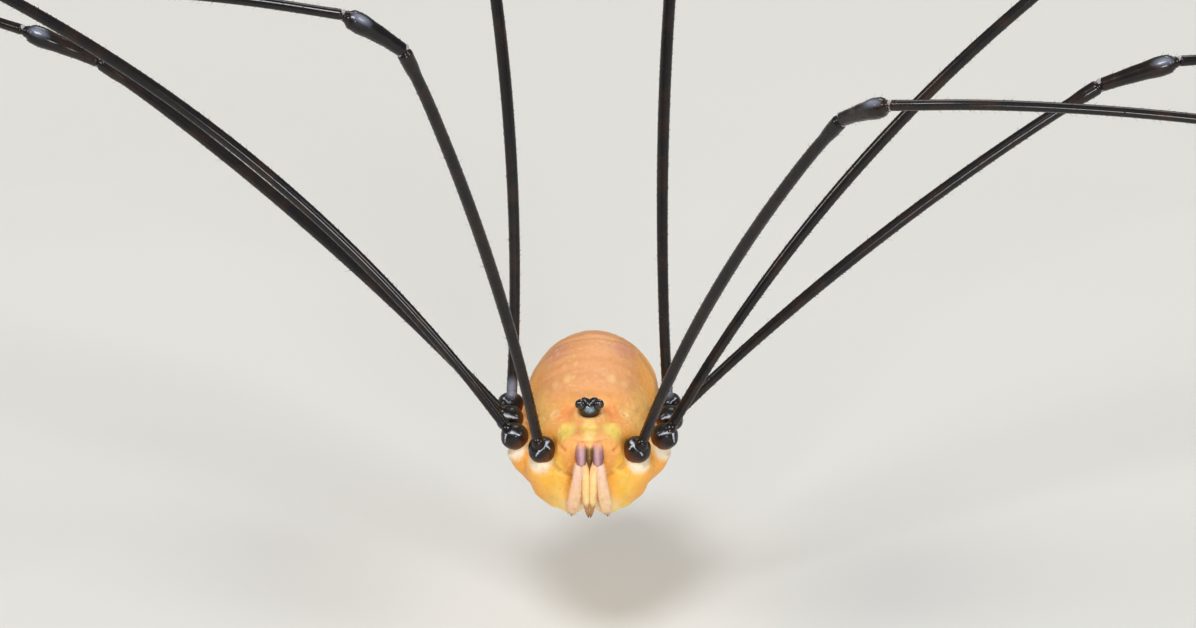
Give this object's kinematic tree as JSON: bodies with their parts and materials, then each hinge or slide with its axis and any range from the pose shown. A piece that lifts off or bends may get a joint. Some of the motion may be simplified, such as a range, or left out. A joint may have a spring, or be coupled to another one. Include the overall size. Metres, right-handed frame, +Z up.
{
  "type": "harvestman",
  "caption": "Still, life-size harvestman with a rounded orange body slung low between raised knees, standing on long, thin dark legs whose feet lie flat on the floor.",
  "frame": {"origin": "on the floor, under the middle of the box that holds the whole animal", "axes": "+Z up, -Y the way that the head points, +X the animal's left"},
  "size_m": [0.114, 0.082, 0.0251],
  "materials": {
    "body": "satin, finely granular cuticle",
    "coxa": "satin, finely granular cuticle with pale rims",
    "leg": "low gloss, with rows of fine teeth and hairs",
    "trochanter": "glossy",
    "ocularium": "glossy",
    "eye": "polished",
    "mouthparts": "satin, pink at the root and brown at the tips",
    "pedipalp": "satin, with fine hairs"
  },
  "bodies": {
    "root": {"opisthosoma": "body", "prosoma": "body", "ocularium": "ocularium", "coxae_left": "coxa", "eye_left": "eye", "chelicera_left": "mouthparts", "pedipalp_left": "pedipalp", "coxae_right": "coxa", "eye_right": "eye", "chelicera_right": "mouthparts", "pedipalp_right": "pedipalp", "trochanter_1_left": "trochanter", "leg_1_left_femur": "leg", "leg_1_left_patella": "leg", "leg_1_left_tibia": "leg", "leg_1_left_metatarsus": "leg", "leg_1_left_tarsus": "leg", "trochanter_2_left": "trochanter", "leg_2_left_femur": "leg", "leg_2_left_patella": "leg", "leg_2_left_tibia": "leg", "leg_2_left_metatarsus": "leg", "leg_2_left_tarsus": "leg", "trochanter_3_left": "trochanter", "leg_3_left_femur": "leg", "leg_3_left_patella": "leg", "leg_3_left_tibia": "leg", "leg_3_left_metatarsus": "leg", "leg_3_left_tarsus": "leg", "trochanter_4_left": "trochanter", "leg_4_left_femur": "leg", "leg_4_left_patella": "leg", "leg_4_left_tibia": "leg", "leg_4_left_metatarsus": "leg", "leg_4_left_tarsus": "leg", "trochanter_1_right": "trochanter", "leg_1_right_femur": "leg", "leg_1_right_patella": "leg", "leg_1_right_tibia": "leg", "leg_1_right_metatarsus": "leg", "leg_1_right_tarsus": "leg", "trochanter_2_right": "trochanter", "leg_2_right_femur": "leg", "leg_2_right_patella": "leg", "leg_2_right_tibia": "leg", "leg_2_right_metatarsus": "leg", "leg_2_right_tarsus": "leg", "trochanter_3_right": "trochanter", "leg_3_right_femur": "leg", "leg_3_right_patella": "leg", "leg_3_right_tibia": "leg", "leg_3_right_metatarsus": "leg", "leg_3_right_tarsus": "leg", "trochanter_4_right": "trochanter", "leg_4_right_femur": "leg", "leg_4_right_patella": "leg", "leg_4_right_tibia": "leg", "leg_4_right_metatarsus": "leg", "leg_4_right_tarsus": "leg"}
  },
  "joints": []
}
